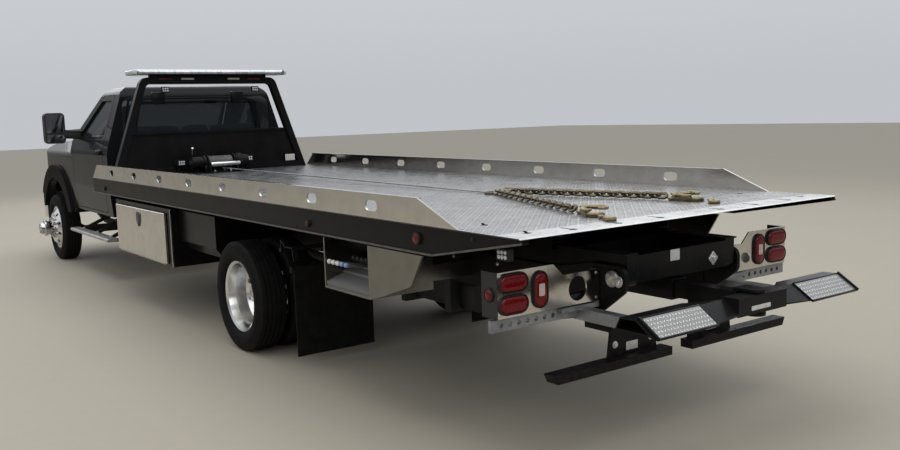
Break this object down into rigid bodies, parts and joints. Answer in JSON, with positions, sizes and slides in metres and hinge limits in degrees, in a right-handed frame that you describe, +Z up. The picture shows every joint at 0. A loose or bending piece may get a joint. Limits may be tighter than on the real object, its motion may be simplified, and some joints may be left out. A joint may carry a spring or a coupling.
{
  "type": "flatbed tow truck",
  "caption": "Regular-cab recovery truck with paired rear wheels, a sliding and tilting steel bed, cab guard, winch with chain bridle, and a wheel lift at the tail.",
  "frame": {"origin": "on the ground under the middle of the truck's box", "axes": "+Y towards the cab's nose, +X to the truck's right, +Z up"},
  "size_m": [2.69, 10.501, 2.212],
  "materials": {
    "cab_paint": "dark grey metallic clearcoat",
    "black_paint": "semi-gloss black powder coat",
    "deck_steel": "dark tread plate, worn bright at the rear",
    "stainless": "polished",
    "chrome": "mirror finish",
    "wheel_alloy": "polished",
    "galvanised": "dull zinc",
    "chain_steel": "yellow zinc plated",
    "tyre_rubber": "matte",
    "flap_rubber": "matte",
    "cast": "rough",
    "black_plastic": "moulded grain",
    "cab_trim": "woven cloth and moulded trim",
    "cab_glass": "tinted",
    "clear_lens": "clear lens",
    "red_lens": "red lens"
  },
  "bodies": {
    "chassis": {"frame_rails": "black_paint", "frame_members": "black_paint", "rear_axle": "cast", "front_axle": "cast", "leaf_springs": "cast", "powertrain": "cast", "fuel_tank": "black_plastic", "exhaust": "galvanised", "cab_shell": "cab_paint", "cab_glass": "cab_glass", "cab_interior": "cab_trim", "seats": "cab_trim", "front_fenders": "cab_paint", "grille": "black_plastic", "headlamps": "clear_lens", "front_bumper": "chrome", "running_boards": "stainless", "toolboxes": "black_paint", "control_boxes": "stainless", "mud_flaps": "flap_rubber", "flap_hangers": "galvanised", "tail_panels": "stainless", "tail_lamps": "red_lens", "rear_guard": "black_paint", "stowed_arms": "galvanised"},
    "hood_lid": {"hood": "cab_paint"},
    "door_l": {"door_left": "cab_paint", "door_glass_left": "cab_glass", "door_mirror_left": "black_plastic"},
    "door_r": {"door_right": "cab_paint", "door_glass_right": "cab_glass", "door_mirror_right": "black_plastic"},
    "toolbox_lid_l": {"toolbox_door_left": "stainless"},
    "toolbox_lid_r": {"toolbox_door_right": "stainless"},
    "knuckle_l": {"knuckle_left": "cast"},
    "knuckle_r": {"knuckle_right": "cast"},
    "wheel_fl": {"front_tyre_left": "tyre_rubber", "front_rim_left": "wheel_alloy"},
    "wheel_fr": {"front_tyre_right": "tyre_rubber", "front_rim_right": "wheel_alloy"},
    "wheel_rl": {"rear_tyres_left": "tyre_rubber", "rear_rims_left": "wheel_alloy"},
    "wheel_rr": {"rear_tyres_right": "tyre_rubber", "rear_rims_right": "wheel_alloy"},
    "tilting_frame": {"tilt_frame": "black_paint", "tilt_members": "black_paint"},
    "bed": {"deck": "deck_steel", "deck_beams": "black_paint", "side_rails": "stainless", "cab_guard": "black_paint", "light_bar": "clear_lens", "winch": "black_paint", "winch_rope": "galvanised", "bridle_chain": "chain_steel"},
    "cylinder_barrels": {"tilt_barrels": "black_paint"},
    "cylinder_rods": {"tilt_rods": "chrome"},
    "boom": {"lift_boom": "black_paint"},
    "inner_boom": {"lift_stinger": "black_paint"},
    "lift_bar": {"lift_crossbar": "black_paint", "step_plates": "galvanised"}
  },
  "joints": [
    {"name": "steer_left", "type": "hinge", "parent": "chassis", "child": "knuckle_l", "pos_m": [-0.83, 4.2925, 0.405], "axis": [0, 0, 1], "range_deg": [-35, 35]},
    {"name": "steer_right", "type": "hinge", "parent": "chassis", "child": "knuckle_r", "pos_m": [0.83, 4.2925, 0.405], "axis": [0, 0, 1], "range_deg": [-35, 35]},
    {"name": "roll_front_left", "type": "hinge", "parent": "knuckle_l", "child": "wheel_fl", "pos_m": [-0.95, 4.2925, 0.405], "axis": [1, 0, 0], "continuous": true},
    {"name": "roll_front_right", "type": "hinge", "parent": "knuckle_r", "child": "wheel_fr", "pos_m": [0.95, 4.2925, 0.405], "axis": [1, 0, 0], "continuous": true},
    {"name": "roll_rear_left", "type": "hinge", "parent": "chassis", "child": "wheel_rl", "pos_m": [-0.94, -1.6225, 0.405], "axis": [1, 0, 0], "continuous": true},
    {"name": "roll_rear_right", "type": "hinge", "parent": "chassis", "child": "wheel_rr", "pos_m": [0.94, -1.6225, 0.405], "axis": [1, 0, 0], "continuous": true},
    {"name": "hood_lift", "type": "hinge", "parent": "chassis", "child": "hood_lid", "pos_m": [0, 3.4825, 1.512], "axis": [1, 0, 0], "range_deg": [0, 50]},
    {"name": "door_swing_left", "type": "hinge", "parent": "chassis", "child": "door_l", "pos_m": [-1.022, 3.381, 1.1], "axis": [0, 0, -1], "range_deg": [0, 65]},
    {"name": "door_swing_right", "type": "hinge", "parent": "chassis", "child": "door_r", "pos_m": [1.022, 3.381, 1.1], "axis": [0, 0, 1], "range_deg": [0, 65]},
    {"name": "toolbox_swing_left", "type": "hinge", "parent": "chassis", "child": "toolbox_lid_l", "pos_m": [-1.196, 0.454, 0.478], "axis": [0, -1, 0], "range_deg": [0, 90]},
    {"name": "toolbox_swing_right", "type": "hinge", "parent": "chassis", "child": "toolbox_lid_r", "pos_m": [1.196, 0.454, 0.478], "axis": [0, 1, 0], "range_deg": [0, 90]},
    {"name": "bed_tilt", "type": "hinge", "parent": "chassis", "child": "tilting_frame", "pos_m": [0, -4.6775, 0.843], "axis": [1, 0, 0], "range_deg": [0, 14]},
    {"name": "bed_slide", "type": "slide", "parent": "tilting_frame", "child": "bed", "axis": [0, -1, 0], "range_m": [0, 4]},
    {"name": "barrel_swing", "type": "hinge", "parent": "chassis", "child": "cylinder_barrels", "pos_m": [0, -2.2975, 0.72], "axis": [1, 0, 0], "range_deg": [0, 35.17]},
    {"name": "rod_slide", "type": "slide", "parent": "cylinder_barrels", "child": "cylinder_rods", "axis": [0, 0.9891, 0.1476], "range_m": [0, 0.2878]},
    {"name": "lift_lower", "type": "hinge", "parent": "chassis", "child": "boom", "pos_m": [0, -3.6075, 0.735], "axis": [1, 0, 0], "range_deg": [0, 12]},
    {"name": "lift_extend", "type": "slide", "parent": "boom", "child": "inner_boom", "axis": [0, -1, 0], "range_m": [0, 0.7]},
    {"name": "crossbar_swivel", "type": "hinge", "parent": "inner_boom", "child": "lift_bar", "pos_m": [0, -5.1775, 0.735], "axis": [0, 0, 1], "range_deg": [-15, 15]}
  ],
  "couplings": [
    {"joint": "steer_right", "follows": "steer_left", "ratio": 1},
    {"joint": "barrel_swing", "follows": "bed_tilt", "ratio": 2.4981},
    {"joint": "rod_slide", "follows": "bed_tilt", "m_per_rad": 1.1695}
  ]
}
